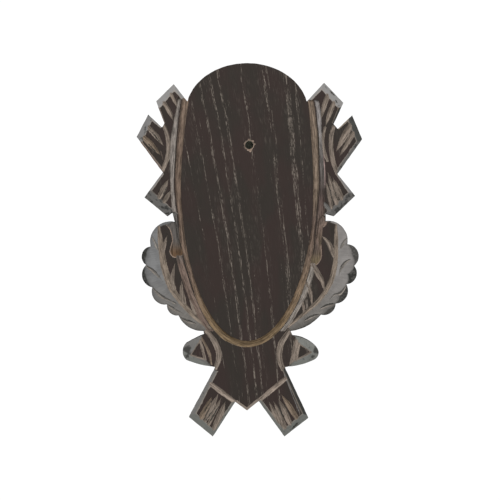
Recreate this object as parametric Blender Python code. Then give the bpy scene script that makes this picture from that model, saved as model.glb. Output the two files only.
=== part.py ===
"""Antler mounting plaque: one board of dark oak, carved on its front.

A flat oval field carries the antlers. A groove runs round it, and beside it stand three crossed
sawn twigs, an oak leaf and an acorn on each side, with two crossed logs and a pointed tail below.
The board hangs on a wall: its back is the plane y = 0 and its front faces -Y.
"""

import math

import bmesh
import bpy

# Sizes in metres
THICKNESS = 0.016
FIELD_HALF_WIDTH = 0.042   # the flat field at its widest level, which is z = 0 of the design
FIELD_DROP = 0.0997        # from the widest level down to the field's bottom
FIELD_RISE = 0.130         # half height of the ellipse that shapes the field's upper flanks
ARCH_LEVEL = 0.0466        # where the rounded top starts
ARCH_HEIGHT = 0.0313
SHOULDER_LEVEL = 0.0536    # where the twigs leave the rounded top
HOLE_RADIUS = 0.0027
HOLE_DEPTH = 0.013
HOLE_RIM_RADIUS = 0.0036
HOLE_LEVEL = 0.0255
HOLE_OFFSET = 0.0014       # the hole was drilled a little to the right of the axis
GROOVE_WIDTH = 0.0048      # the cove round the field
RIDGE_WIDTH = 0.0006       # left standing between the groove and the channel beside it
CHANNEL_WIDTH = 0.0030
SAWN_END_WIDTH = 0.0052    # slopes cut along the logs' and twigs' ends
SAWN_SIDE_WIDTH = 0.0022   # and along their sides
ACORN_SLOPE_WIDTH = 0.0030
TIP_SLOPE_WIDTH = 0.0020
TWIG_CUT_WIDTH = 0.0030
MIDRIB_WIDTH = 0.0034
VEIN_WIDTH = 0.0017
LEAF_CUT_WIDTH = 0.0026
ACORN_CUT_WIDTH = 0.0019
LOG_CUT_WIDTH = 0.0033
TAIL_CUT_WIDTH = 0.0030

# Shapes of the cuts, as shares of their width
CUT_DEPTH = 0.52
SLOPE_DEPTH = 0.85
COVE_DEPTH = 0.5
COVE_FLOOR = 0.4           # the cove's flat bottom
FALL_DEPTH = 0.4           # how deep the leaf has fallen at its notches
FALL_REACH = 1.3           # how far its slope runs on outwards, past its lobes
VEIN_TAPER = (1.3, 0.8)    # a vein's width at the leaf's edge and at the midrib
CUT_CLEARANCE = 0.3        # how far a cutter stands past the face that it cuts
STROKE_CLEARANCE = 1.1     # and a stroke's, which may cross a slope
BLUNT = 0.3                # width left at the start of a stroke that ends in a point
INNER = 0.1                # how far a slope runs on where its edge ends in an inner corner
STOP_CUT = 0.5             # and where it is cut on into the twig beside it

WELD = 1e-6

# The ornament is laid out on the carver's squared grid: across from the axis, up from the
# field's widest level. A square is 1/42 of the field's half width and 1/100 of its drop.
SQUARES_ACROSS = 42
SQUARES_DOWN = 100

LEFT = {
    "side": -1,
    "upper_twig": ((47, 65), (58.5, 54), (53, 39.5)),
    "middle_twig": ((63.5, 45.5), (71, 31), (54, 8)),
    "lower_twig": ((66, -8), (51.5, -20), (48, -17.5)),
    "twig_notch": (54.5, 37),
    "leaf": ((46.5, -23.5), (62, -39.5), (65, -51.5), (61, -66), (51.5, -77), (44, -84), (28, -94)),
    "leaf_top": (57.5, -24),
    "bulges": (0.27, 0.35, 0.31, 0.28, 0.25, 0.16),
    "acorn": ((27.5, -96), (39.5, -102), (39, -112.5), (20.5, -117)),
    "acorn_bulges": (0.02, 0.2, 0.04),
    "log": ((21.5, -119.5), (37.5, -149.5), (22, -162), (7.5, -139.5)),
    "midrib": ((55, -25), (55, -38), (54.5, -47), (51, -60), (43, -73), (34, -83), (26, -90)),
    "veins": (
        ((62, -31), (59.5, -37), (55, -45)),
        ((64.5, -52), (59.5, -55.5), (52, -63.5)),
        ((60.5, -66), (55, -71.5), (47, -75.5), (38, -82)),
        ((51.5, -77), (46, -80.5), (39.5, -83.5)),
        ((43.5, -84.5), (37, -87.5), (30.5, -91)),
    ),
    "leaf_cuts": (
        ((50.5, -31), (52, -36), (54, -41)),
        ((46, -49), (48, -55), (48, -61), (47, -67)),
        ((41, -61), (42, -66.5), (41.5, -73)),
        ((37, -70), (36, -74.5), (34, -80)),
    ),
    "branch_rim": ((50.5, -26), (48.5, -31), (48.5, -41), (46, -46.5), (41.5, -45.5)),
    "twig_cuts": (
        ((51, 60), (43.5, 49.5)),
        ((53.5, 56), (46.5, 42)),
        ((54.5, 47), (51, 39.5)),
        ((65, 40), (53, 24)),
        ((68, 35), (54.5, 18)),
        ((59, -12.5), (49.5, 5)),
        ((55.5, -15), (48.5, -3)),
    ),
    "twig_arcs": (
        ((52.5, 39), (51, 27), (50.5, 18.5), (53.5, 8.5)),
        ((49, 35), (49, 25), (49.5, 13)),
    ),
    "acorn_cup": ((26.5, -94.5), (20, -103.5), (18, -109), (20, -118)),
    "acorn_band": ((29.5, -98.5), (26, -107), (25, -115)),
    "acorn_facet": ((30.5, -101), (34.5, -107), (27.5, -111)),
    "log_cuts": (
        ((30.5, -153), (21, -135)),
        ((27, -156), (18, -134)),
        ((24, -158), (16, -136)),
        ((20, -158), (13, -139)),
    ),
    "tail_edge": ((19, -97), (18.5, -107), (17.5, -118), (19.5, -127)),
    "tail_foot": ((25, -127.5), (6.5, -139.5)),
}

RIGHT = {
    "side": 1,
    "upper_twig": ((49.5, 66), (62, 53), (55.5, 39)),
    "middle_twig": ((67.5, 45), (74, 29.5), (58, 7)),
    "lower_twig": ((69.5, -7), (56, -20), (50.5, -18.5)),
    "twig_notch": (58, 36),
    "leaf": ((50.5, -23), (64.5, -38), (69, -52), (64, -64), (57, -76.5), (47.5, -83.5), (28, -94)),
    "leaf_top": (60, -24),
    "bulges": (0.25, 0.35, 0.31, 0.28, 0.25, 0.1),
    "acorn": ((29.5, -97), (44.3, -103.8), (43, -112.5), (24.5, -117)),
    "acorn_bulges": (0.09, 0.26, 0.05),
    "log": ((25, -119), (39.5, -150), (24, -162), (7.5, -139)),
    "midrib": ((57.5, -25), (57, -38), (57.5, -47), (55, -59), (48.5, -71), (38, -81.5), (26, -92)),
    "veins": (
        ((65, -32), (61, -36), (58.5, -43)),
        ((69, -50), (63, -50.5), (58, -59)),
        ((63.5, -64.5), (57.5, -70), (50.5, -76.5)),
        ((56.5, -77), (51.5, -78), (45, -80)),
        ((47, -84), (42, -86), (35.5, -88.5)),
    ),
    "leaf_cuts": (
        ((47.5, -32), (51, -36.5), (56, -46)),
        ((43.5, -52), (47.5, -57.5), (49, -67)),
        ((39.5, -63.5), (41, -69), (41.5, -76.5)),
        ((36.5, -73), (35.5, -78), (35.5, -83)),
    ),
    "branch_rim": ((52.5, -24), (48, -30), (47, -44), (43.5, -50), (40.5, -48.5)),
    "twig_cuts": (
        ((53, 61.5), (47, 42)),
        ((57, 57), (50, 35)),
        ((56.5, 48), (53.5, 37)),
        ((68.5, 39.5), (56.5, 20.5)),
        ((71, 36), (59, 18)),
        ((66, 25), (58, 13)),
        ((63, -10.5), (51, 9)),
        ((60.5, -15), (51, 6)),
        ((57.5, -16), (51, 0.5)),
    ),
    "twig_arcs": (
        ((55.5, 37), (53.5, 27), (54, 18.5), (57.5, 7.5)),
        ((49.5, 35), (49.5, 27), (52, 15)),
    ),
    "acorn_cup": ((27, -95), (21, -104), (20.5, -110), (23.5, -118.5)),
    "acorn_band": ((32, -99.5), (30.5, -107), (29, -114.5)),
    "acorn_facet": ((33.5, -103.5), (39, -107), (31.5, -111.5)),
    "log_cuts": (
        ((22, -157.5), (14, -139)),
        ((26.5, -158.5), (17.5, -138)),
        ((30, -156.5), (20, -136.5)),
        ((33.5, -154), (22, -134.5)),
    ),
    "tail_edge": ((22, -97), (20, -107), (20.5, -118), (22, -126)),
    "tail_foot": ((26, -125), (7.5, -138.5)),
}

TAIL_TIP = (0, -145)

# Fineness of the curved stretches
ARCH_POINTS = 32
GROOVE_POINTS = 72
LOBE_POINTS = 6
STROKE_RESOLUTION = 3
HOLE_SIDES = 32

OAK_COLOUR = (0.045, 0.036, 0.032, 1.0)
OAK_ROUGHNESS = 0.6


def clear_scene():
    for obj in list(bpy.data.objects):
        bpy.data.objects.remove(obj, do_unlink=True)


def new_collection(name):
    collection = bpy.data.collections.new(name)
    bpy.context.scene.collection.children.link(collection)
    return collection


def on_grid(side, place):
    """The design's x and z in metres for a place counted in squares."""
    across, up = place
    return (
        side * across * FIELD_HALF_WIDTH / SQUARES_ACROSS,
        up * FIELD_DROP / SQUARES_DOWN,
    )


def field_half_width(level):
    height = FIELD_RISE if level > 0 else FIELD_DROP
    return FIELD_HALF_WIDTH * math.sqrt(max(0.0, 1 - (level / height) ** 2))


def arch():
    """The rounded top, from the left shoulder to the right one."""
    half_width = field_half_width(ARCH_LEVEL)
    start = math.asin((SHOULDER_LEVEL - ARCH_LEVEL) / ARCH_HEIGHT)
    points = []
    for i in range(ARCH_POINTS + 1):
        angle = start + (math.pi - 2 * start) * i / ARCH_POINTS
        points.append((-half_width * math.cos(angle), ARCH_LEVEL + ARCH_HEIGHT * math.sin(angle)))
    return points


def arc_between(start, end, bulge, count=LOBE_POINTS):
    """Points of a round arc that stands bulge x its chord to the left of the way from start to end."""
    (x0, z0), (x1, z1) = start, end
    points = []
    half_angle = 2 * math.atan(2 * bulge)
    for i in range(count + 1):
        angle = half_angle * (2 * i / count - 1)
        along = 0.5 + math.sin(angle) / (2 * math.sin(half_angle))
        out = (math.cos(angle) - math.cos(half_angle)) / (2 * math.sin(half_angle))
        points.append((
            x0 + along * (x1 - x0) - out * (z1 - z0),
            z0 + along * (z1 - z0) + out * (x1 - x0),
        ))
    return points


def arcs_through(side, places, bulges):
    """A round arc between each place on the grid and the next."""
    points = [on_grid(side, place) for place in places]
    return [
        arc_between(start, end, side * bulge)
        for start, end, bulge in zip(points, points[1:], bulges)
    ]


def joined(arcs):
    points = []
    for arc in arcs:
        points += arc[:-1]
    return points + [arc[-1]]


def leaf_lobes(hand):
    return arcs_through(hand["side"], hand["leaf"], hand["bulges"])


def acorn_curves(hand):
    """The acorn's upper edge, its blunt tip and its lower edge."""
    return arcs_through(hand["side"], hand["acorn"], hand["acorn_bulges"])


def distance_to_path(point, path):
    """How far a point lies from the nearest stretch of a path."""
    nearest = math.inf
    for (x0, z0), (x1, z1) in zip(path, path[1:]):
        dx, dz = x1 - x0, z1 - z0
        share = ((point[0] - x0) * dx + (point[1] - z0) * dz) / (dx * dx + dz * dz)
        share = min(1.0, max(0.0, share))
        nearest = min(nearest, math.hypot(point[0] - x0 - share * dx, point[1] - z0 - share * dz))
    return nearest


def leaf_fall(hand):
    """A line through the leaf's notches, and how far in from each of them the midrib lies."""
    places = (hand["leaf_top"],) + hand["leaf"][1:]
    line = [on_grid(hand["side"], place) for place in places]
    midrib = [on_grid(hand["side"], place) for place in hand["midrib"]]
    return line, [distance_to_path(point, midrib) for point in line]


def side_outline(hand):
    """The board's edge on one side, from the shoulder down to the tail."""
    side = hand["side"]
    places = [*hand["upper_twig"], hand["twig_notch"], *hand["middle_twig"], *hand["lower_twig"]]
    return (
        [on_grid(side, place) for place in places]
        + joined(leaf_lobes(hand))
        + joined(acorn_curves(hand))
        + [on_grid(side, place) for place in hand["log"]]
    )


def outline():
    """The whole edge, clockwise from the left shoulder."""
    return (
        arch()
        + side_outline(RIGHT)
        + [on_grid(1, TAIL_TIP)]
        + side_outline(LEFT)[::-1]
    )


def mesh_from_curve(curve_object, collection, name):
    """The closed mesh that the curve makes, in its place, as a new object."""
    bpy.context.view_layer.update()
    graph = bpy.context.evaluated_depsgraph_get()
    mesh = bpy.data.meshes.new_from_object(curve_object.evaluated_get(graph))
    made = bmesh.new()
    made.from_mesh(mesh)
    bmesh.ops.remove_doubles(made, verts=made.verts, dist=WELD)
    bmesh.ops.recalc_face_normals(made, faces=made.faces)
    made.to_mesh(mesh)
    made.free()
    obj = bpy.data.objects.new(name, mesh)
    obj.matrix_world = curve_object.matrix_world
    collection.objects.link(obj)
    bpy.data.objects.remove(curve_object, do_unlink=True)
    return obj


def place_on_board(obj, depth, parent):
    """Lays the curve's plane parallel to the front, so far in front of the back."""
    obj.parent = parent
    obj.rotation_euler = (math.pi / 2, 0, 0)
    obj.location = (0, -depth, 0)


def board(collection, parent):
    curve = bpy.data.curves.new("outline", "CURVE")
    curve.dimensions = "2D"
    curve.fill_mode = "BOTH"
    curve.extrude = THICKNESS / 2
    points = outline()
    spline = curve.splines.new("POLY")
    spline.points.add(len(points) - 1)
    for point, (x, z) in zip(spline.points, points):
        point.co = (x, z, 0, 1)
    spline.use_cyclic_u = True
    shape = bpy.data.objects.new("outline", curve)
    bpy.context.scene.collection.objects.link(shape)
    place_on_board(shape, THICKNESS / 2, parent)
    return mesh_from_curve(shape, collection, "carved_board")


def profile(name, corners):
    """A closed section of unit width for the cutters, with its origin on the cut face."""
    curve = bpy.data.curves.new(name, "CURVE")
    curve.dimensions = "2D"
    spline = curve.splines.new("POLY")
    spline.points.add(len(corners) - 1)
    for point, (across, up) in zip(spline.points, corners):
        point.co = (across, up, 0, 1)
    spline.use_cyclic_u = True
    obj = bpy.data.objects.new(name, curve)
    bpy.context.scene.collection.objects.link(obj)
    obj.hide_render = True
    return obj


def stroke_profile():
    """A V that is as wide as its path says where it meets the face."""
    half = 0.5 * (CUT_DEPTH + STROKE_CLEARANCE) / CUT_DEPTH
    return profile("stroke_section", [
        (-half, STROKE_CLEARANCE),
        (0, -CUT_DEPTH),
        (half, STROKE_CLEARANCE),
    ])


def cove_profile():
    floor = COVE_FLOOR / 2
    half = floor + (0.5 - floor) * (COVE_DEPTH + CUT_CLEARANCE) / COVE_DEPTH
    return profile("cove_section", [
        (-half, CUT_CLEARANCE),
        (-floor, -COVE_DEPTH),
        (floor, -COVE_DEPTH),
        (half, CUT_CLEARANCE),
    ])


def fall_profile():
    """The slope of a leaf from its midrib, on the path's right, down past its edge."""
    inner = 1 + CUT_CLEARANCE
    return profile("fall_section", [
        (inner, CUT_CLEARANCE * FALL_DEPTH),
        (-FALL_REACH, -(1 + FALL_REACH) * FALL_DEPTH),
        (-FALL_REACH, CUT_CLEARANCE * FALL_DEPTH),
    ])


def slope_profile():
    """Takes the corner off an edge that its path follows with the board on the right."""
    inner = 1 + CUT_CLEARANCE
    return profile("slope_section", [
        (inner, CUT_CLEARANCE * SLOPE_DEPTH),
        (-CUT_CLEARANCE, -inner * SLOPE_DEPTH),
        (-CUT_CLEARANCE, CUT_CLEARANCE * SLOPE_DEPTH),
    ])


class Carver:
    """Makes the cutters, each a section swept along a path on the board's front."""

    def __init__(self, collection, parent):
        self.collection = collection
        self.parent = parent
        self.stroke_section = stroke_profile()
        self.cove_section = cove_profile()
        self.slope_section = slope_profile()
        self.fall_section = fall_profile()

    def sections(self):
        return [self.stroke_section, self.cove_section, self.slope_section, self.fall_section]

    def sweep(self, name, path, widths, section, smooth, depths=None):
        depths = depths or [0] * len(path)
        curve = bpy.data.curves.new(name, "CURVE")
        curve.dimensions = "2D"
        curve.bevel_mode = "OBJECT"
        curve.bevel_object = section
        curve.use_fill_caps = True
        curve.resolution_u = STROKE_RESOLUTION
        if smooth:
            spline = curve.splines.new("BEZIER")
            spline.bezier_points.add(len(path) - 1)
            for point, (x, z), width, depth in zip(spline.bezier_points, path, widths, depths):
                point.co = (x, z, -depth)
                point.handle_left_type = "AUTO"
                point.handle_right_type = "AUTO"
                point.radius = width
        else:
            spline = curve.splines.new("POLY")
            spline.points.add(len(path) - 1)
            for point, (x, z), width, depth in zip(spline.points, path, widths, depths):
                point.co = (x, z, -depth, 1)
                point.radius = width
        shape = bpy.data.objects.new(name, curve)
        bpy.context.scene.collection.objects.link(shape)
        place_on_board(shape, THICKNESS, self.parent)
        cutter = mesh_from_curve(shape, self.collection, name)
        cutter.hide_render = True
        cutter.display_type = "WIRE"

    def stroke(self, name, side, places, width, taper=(BLUNT, BLUNT), depths=None):
        """A V cut along places on the grid, narrowing to its ends by the shares in taper."""
        path = [on_grid(side, place) for place in places]
        if len(path) == 2:
            middle = tuple((a + b) / 2 for a, b in zip(*path))
            path = [path[0], middle, path[1]]
        widths = [width] * len(path)
        widths[0] *= taper[0]
        widths[-1] *= taper[1]
        self.sweep(name, path, widths, self.stroke_section, smooth=True, depths=depths)

    def edge(self, name, side, path, width, past):
        """A slope along an edge, run past its two ends by shares of its width."""
        start = run_on(path[1], path[0], past[0] * width)
        end = run_on(path[-2], path[-1], past[1] * width)
        path = [start] + path[1:-1] + [end]
        self.sweep(name, path[::side], [width] * len(path), self.slope_section, smooth=False)


def run_on(before, last, distance):
    """A point so far past the last one, straight on."""
    dx, dz = last[0] - before[0], last[1] - before[1]
    length = math.hypot(dx, dz)
    return (last[0] + dx / length * distance, last[1] + dz / length * distance)


def beside_field(offset):
    """A path round the field, from the left shoulder under it to the right one, so far outside it."""
    top = math.asin(min(1.0, (ARCH_LEVEL + ARCH_HEIGHT / 2) / FIELD_RISE))
    points = []
    for i in range(GROOVE_POINTS + 1):
        angle = math.pi - top + (math.pi + 2 * top) * i / GROOVE_POINTS
        height = FIELD_RISE if math.sin(angle) > 0 else FIELD_DROP
        normal = (math.cos(angle) * height, math.sin(angle) * FIELD_HALF_WIDTH)
        length = math.hypot(*normal)
        points.append((
            FIELD_HALF_WIDTH * math.cos(angle) + offset * normal[0] / length,
            height * math.sin(angle) + offset * normal[1] / length,
        ))
    return points


def carve_round_field(carver):
    groove = beside_field(GROOVE_WIDTH / 2)
    widths = [GROOVE_WIDTH] * len(groove)
    carver.sweep("field_groove", groove, widths, carver.cove_section, smooth=False)
    channel = beside_field(GROOVE_WIDTH + RIDGE_WIDTH + CHANNEL_WIDTH / 2)
    leaf_end = on_grid(1, LEFT["leaf"][-1])[1]
    for name, side in (("left", -1), ("right", 1)):
        path = [point for point in channel if point[0] * side > 0 and point[1] > leaf_end]
        widths = [CHANNEL_WIDTH] * len(path)
        carver.sweep(name + "_channel", path, widths, carver.stroke_section, smooth=False)


def carve_twigs(carver, hand, name):
    side = hand["side"]
    upper = [on_grid(side, place) for place in hand["upper_twig"]]
    middle = [on_grid(side, place) for place in hand["middle_twig"]]
    lower = [on_grid(side, place) for place in hand["lower_twig"]]
    notch = on_grid(side, hand["twig_notch"])
    shoulder = (side * field_half_width(SHOULDER_LEVEL), SHOULDER_LEVEL)
    edges = {
        "upper_side": ([shoulder, upper[0]], SAWN_SIDE_WIDTH, (INNER, 1)),
        "upper_end": ([upper[0], upper[1]], SAWN_END_WIDTH, (1, 1)),
        "upper_foot": ([upper[1], upper[2]], SAWN_SIDE_WIDTH, (1, INNER)),
        "middle_side": ([notch, middle[0]], SAWN_SIDE_WIDTH, (INNER, 1)),
        "middle_end": ([middle[0], middle[1]], SAWN_END_WIDTH, (1, 1)),
        "middle_foot": ([middle[1], middle[2]], SAWN_SIDE_WIDTH, (1, INNER)),
        "lower_side": ([middle[2], lower[0]], SAWN_SIDE_WIDTH, (STOP_CUT, 1)),
        "lower_end": ([lower[0], lower[1]], SAWN_END_WIDTH, (1, 1)),
    }
    for key, (path, width, past) in edges.items():
        carver.edge(f"{name}_{key}", side, path, width, past)
    for i, places in enumerate(hand["twig_cuts"]):
        carver.stroke(f"{name}_twig_cut_{i}", side, places, TWIG_CUT_WIDTH)
    for i, places in enumerate(hand["twig_arcs"]):
        carver.stroke(f"{name}_twig_arc_{i}", side, places, TWIG_CUT_WIDTH)


def carve_leaf(carver, hand, name):
    side = hand["side"]
    line, reaches = leaf_fall(hand)
    carver.sweep(
        name + "_fall", line[::side], reaches[::side], carver.fall_section, smooth=True
    )
    carver.stroke(name + "_midrib", side, hand["midrib"], MIDRIB_WIDTH)
    for i, places in enumerate(hand["veins"]):
        edge_depth = FALL_DEPTH * reaches[i + 1]
        steps = len(places) - 1
        depths = [edge_depth * (steps - j) / steps for j in range(steps + 1)]
        carver.stroke(f"{name}_vein_{i}", side, places, VEIN_WIDTH, VEIN_TAPER, depths)
    for i, places in enumerate(hand["leaf_cuts"]):
        carver.stroke(f"{name}_leaf_cut_{i}", side, places, LEAF_CUT_WIDTH)
    carver.stroke(name + "_branch_rim", side, hand["branch_rim"], VEIN_WIDTH, taper=(1, 1))


def carve_acorn(carver, hand, name):
    side = hand["side"]
    upper, tip, lower = acorn_curves(hand)
    carver.edge(name + "_acorn_top", side, upper, ACORN_SLOPE_WIDTH, (INNER, 1))
    carver.edge(name + "_acorn_tip", side, tip, ACORN_SLOPE_WIDTH, (1, 1))
    carver.edge(name + "_acorn_foot", side, lower, ACORN_SLOPE_WIDTH, (1, INNER))
    carver.stroke(name + "_acorn_cup", side, hand["acorn_cup"], TAIL_CUT_WIDTH, taper=(1, 1))
    carver.stroke(name + "_acorn_band", side, hand["acorn_band"], ACORN_CUT_WIDTH, taper=(1, 1))
    corners = hand["acorn_facet"]
    for i, corner in enumerate(corners):
        ends = (corner, corners[(i + 1) % len(corners)])
        carver.stroke(f"{name}_acorn_facet_{i}", side, ends, ACORN_CUT_WIDTH)


def carve_foot(carver, hand, name):
    side = hand["side"]
    corners = [on_grid(side, place) for place in hand["log"]]
    edges = (
        (SAWN_SIDE_WIDTH, (INNER, 1)),
        (SAWN_END_WIDTH, (1, 1)),
        (SAWN_SIDE_WIDTH, (1, INNER)),
    )
    for i, (width, past) in enumerate(edges):
        carver.edge(f"{name}_log_edge_{i}", side, corners[i:i + 2], width, past)
    for i, places in enumerate(hand["log_cuts"]):
        carver.stroke(f"{name}_log_cut_{i}", side, places, LOG_CUT_WIDTH, taper=(1, BLUNT))
    tip = [corners[-1], on_grid(side, TAIL_TIP)]
    carver.edge(name + "_tip_edge", side, tip, TIP_SLOPE_WIDTH, (INNER, 1))
    carver.stroke(name + "_tail_edge", side, hand["tail_edge"], VEIN_WIDTH, taper=(1, 1))
    carver.stroke(name + "_tail_foot", side, hand["tail_foot"], TAIL_CUT_WIDTH, taper=(1, 1))


def turned_cutter(name, collection, parent, depth, over, bottom_radius, top_radius):
    """A cone on the hole's axis, from so deep in the board to so far over its face."""
    made = bmesh.new()
    bmesh.ops.create_cone(
        made, cap_ends=True, segments=HOLE_SIDES,
        radius1=bottom_radius, radius2=top_radius, depth=depth + over,
    )
    mesh = bpy.data.meshes.new(name)
    made.to_mesh(mesh)
    made.free()
    cutter = bpy.data.objects.new(name, mesh)
    collection.objects.link(cutter)
    place_on_board(cutter, THICKNESS + (over - depth) / 2, parent)
    cutter.location.x = HOLE_OFFSET
    cutter.location.z = HOLE_LEVEL
    cutter.hide_render = True
    cutter.display_type = "WIRE"


def drill_hole(collection, parent):
    """The screw hole, drilled from the front and closed behind, and its chipped rim."""
    rim = HOLE_RIM_RADIUS - HOLE_RADIUS
    turned_cutter("hole", collection, parent, HOLE_DEPTH, 2 * rim, HOLE_RADIUS, HOLE_RADIUS)
    turned_cutter("hole_rim", collection, parent, rim, rim, HOLE_RADIUS, HOLE_RIM_RADIUS + rim)


def oak():
    material = bpy.data.materials.new("dark_oak")
    material.use_nodes = True
    shader = material.node_tree.nodes["Principled BSDF"]
    shader.inputs["Base Color"].default_value = OAK_COLOUR
    shader.inputs["Roughness"].default_value = OAK_ROUGHNESS
    shader.inputs["Metallic"].default_value = 0.0
    return material


def main():
    clear_scene()
    parts = new_collection("antler_mounting_plaque")
    cutters = new_collection("cutters")
    top = ARCH_LEVEL + ARCH_HEIGHT
    bottom = min(on_grid(1, hand["log"][2])[1] for hand in (LEFT, RIGHT))
    design = bpy.data.objects.new("design", None)
    design.location = (0, 0, -(top + bottom) / 2)
    parts.objects.link(design)

    plaque = board(parts, design)
    carver = Carver(cutters, design)
    carve_round_field(carver)
    for hand, name in ((LEFT, "left"), (RIGHT, "right")):
        carve_twigs(carver, hand, name)
        carve_leaf(carver, hand, name)
        carve_acorn(carver, hand, name)
        carve_foot(carver, hand, name)
    drill_hole(cutters, design)
    for section in carver.sections():
        bpy.data.objects.remove(section, do_unlink=True)

    carving = plaque.modifiers.new("carving", "BOOLEAN")
    carving.operation = "DIFFERENCE"
    carving.operand_type = "COLLECTION"
    carving.collection = cutters
    carving.solver = "EXACT"
    plaque.data.materials.append(oak())


main()
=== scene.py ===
"""Looks of the antler mounting plaque.

One piece, plaque_carving, stands for the carved_board solid. Its front is a fine mesh whose depth
below the uncut face is worked out cut by cut: the cove round the field, the sawn bevels, the gouge
flutes, the leaves with their lobes and veins, the acorns, the logs and the screw hole. Each cut also
leaves its colour, in places with painted shade and painted highlights on its walls, and the direction
of its tool marks on the mesh, which the wood's material reads.
"""
import math

import bmesh
import bpy
import numpy as np
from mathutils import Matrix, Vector, kdtree
from mathutils.geometry import delaunay_2d_cdt


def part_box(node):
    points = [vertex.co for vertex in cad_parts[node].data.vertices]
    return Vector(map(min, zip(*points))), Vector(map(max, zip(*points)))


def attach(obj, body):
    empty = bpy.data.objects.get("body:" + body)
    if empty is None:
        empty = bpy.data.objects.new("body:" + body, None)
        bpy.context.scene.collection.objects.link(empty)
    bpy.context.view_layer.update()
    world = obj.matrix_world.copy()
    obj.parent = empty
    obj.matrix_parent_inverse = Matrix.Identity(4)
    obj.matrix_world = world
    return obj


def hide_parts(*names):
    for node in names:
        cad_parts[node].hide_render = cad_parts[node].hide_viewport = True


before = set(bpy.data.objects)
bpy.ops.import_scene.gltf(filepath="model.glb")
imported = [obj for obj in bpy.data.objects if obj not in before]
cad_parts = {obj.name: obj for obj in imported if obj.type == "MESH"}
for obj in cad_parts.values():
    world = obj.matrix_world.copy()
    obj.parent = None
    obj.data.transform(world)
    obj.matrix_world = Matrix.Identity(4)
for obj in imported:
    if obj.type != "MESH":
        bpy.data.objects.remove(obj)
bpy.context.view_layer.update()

NODE_LOW, NODE_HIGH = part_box("carved_board")

# Sizes in millimetres; the mesh is made in metres
METRE = 1000.0
THICKNESS = -NODE_LOW.y * METRE
FIELD_HALF_WIDTH = 42.0
FIELD_DROP = 99.7
FIELD_RISE = 130.0
ARCH_LEVEL = 46.6
ARCH_HEIGHT = 31.3
SHOULDER_LEVEL = 53.6
HOLE_RADIUS = 2.7
HOLE_RIM_RADIUS = 3.6
HOLE_LEVEL = 25.5
HOLE_OFFSET = 1.4
HOLE_DEPTH = 13.0
RIDGE_WIDTH = 0.4          # left standing between the groove and the strip beside it
LIFT = NODE_HIGH.z * METRE - ARCH_LEVEL - ARCH_HEIGHT   # from the field's widest level to z = 0

# Depths, slopes and widths of the cuts
GROOVE_DEPTH = 2.3
STRIP_DEPTH = 1.4
STRIP_BOTTOM = 0.78        # where the strip is deepest, as a share of its width
BEVEL_SLOPE = 0.85
BEVEL_WEAR = 0.15
LEAF_SLOPE = 0.4
SCOOP_DEPTH = 0.55
SCOOP_REACH = 2.4          # how far beside a vein the leaf's slope gets its full scoop
LOBE_ROUNDING = 0.9
FLUTE_SHARE = 0.5          # a flute's depth as a share of its width
RUN_IN = 1.6               # how far a flute starts before its first place, under the sawn slope
POCKET_DEPTH = 1.8
ACORN_SLOPE = 0.42
ACORN_STEP = 0.1           # the fall at the facet's edge
CHIP_SLOPE = 0.7
TEAR_LENGTH = 1.5          # of the splinter torn out under the hole
TOOL_MARKS = 0.05
FACE_WAVES = 0.012
EDGE_WEAR = 0.07
FACET_WIDTHS = (1.1, 1.7, 2.3)   # of the cuts round the acorn's facet: above, below and at the cup
RIM_WIDTH = 1.0            # of the cut round the pocket's end
VEIN_WIDTH = 1.7

# The grain leans by this much at the axis, and less or more for each millimetre beside it
GRAIN_SLANT = 0.14
GRAIN_FAN = 0.0017

# The carver's squared grid: across from the axis, up from the field's widest level
SQUARES_ACROSS = 42
SQUARES_DOWN = 100

# Fineness of the mesh
FINE_STEP = 0.44
FIELD_STEP = 1.1
EDGE_STEP = 0.5
BACK_STEP = 6.0
FIELD_MARGIN = 1.2         # how far the fine mesh reaches into the field
CLEARANCE = 0.55           # from the lines' points, as a share of the step
BACK_CLEARANCE = 0.4
ROW_SPACING = 0.87         # of the lattice's rows, as a share of the step
SHAKE = 0.16               # of the lattice's points, as a share of the step
WELD = 0.02
SMOOTH_ANGLE = 38          # degrees
NOISE_SIZE = 256
WALL_ROWS = ((0.3, 0.05), (0.62, 0.08), (0.96, 0.05), (1.0, 0.45))   # share of the way back, drawn in

FRONT, SIDES, BACK, BORE = range(4)   # the materials' places on the mesh

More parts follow.
